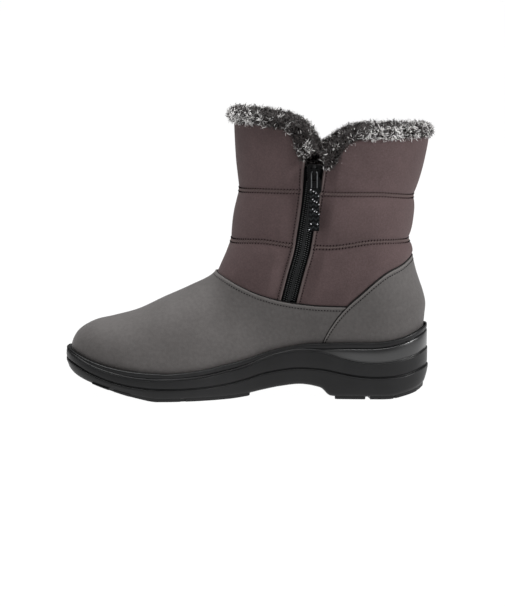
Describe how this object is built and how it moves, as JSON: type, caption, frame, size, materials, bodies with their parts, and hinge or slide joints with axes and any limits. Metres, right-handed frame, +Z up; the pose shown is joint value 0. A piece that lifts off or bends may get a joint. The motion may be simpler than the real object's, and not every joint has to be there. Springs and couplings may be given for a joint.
{
  "type": "snow boot",
  "caption": "Ankle-high padded snow boot with a grey vamp and heel counter, fur collar, side zip and a lugged unit sole.",
  "frame": {"origin": "on the floor, under the middle of the heel's flat tread", "axes": "+X towards the heel, toe towards -X, +Z up, the inner side of the foot with the zip towards -Y"},
  "size_m": [0.2789, 0.1017, 0.2206],
  "materials": {
    "rubber": "black moulded rubber, satin with polished side panels",
    "foam": "fleece-covered foam",
    "quilt": "matt padded fabric",
    "nubuck": "grey synthetic nubuck",
    "fur": "dark plush fur with pale tips",
    "zip": "black chain on black tape",
    "slider": "glossy black lacquer",
    "strap": "black braid with silver flecks"
  },
  "bodies": {
    "boot": {"outsole": "rubber", "insole": "foam", "upper": "quilt", "vamp": "nubuck", "heel_counter": "nubuck", "fur_collar": "fur", "zip_tape": "zip", "zip_teeth": "zip", "zip_slider": "slider"},
    "pull": {"pull_tab": "slider", "pull_strap": "strap"}
  },
  "joints": [
    {"name": "zip_pull_hinge", "type": "hinge", "parent": "boot", "child": "pull", "pos_m": [-0.0333, -0.04511, 0.1744], "axis": [-1, 0, 0], "range_deg": [0, 90]}
  ]
}
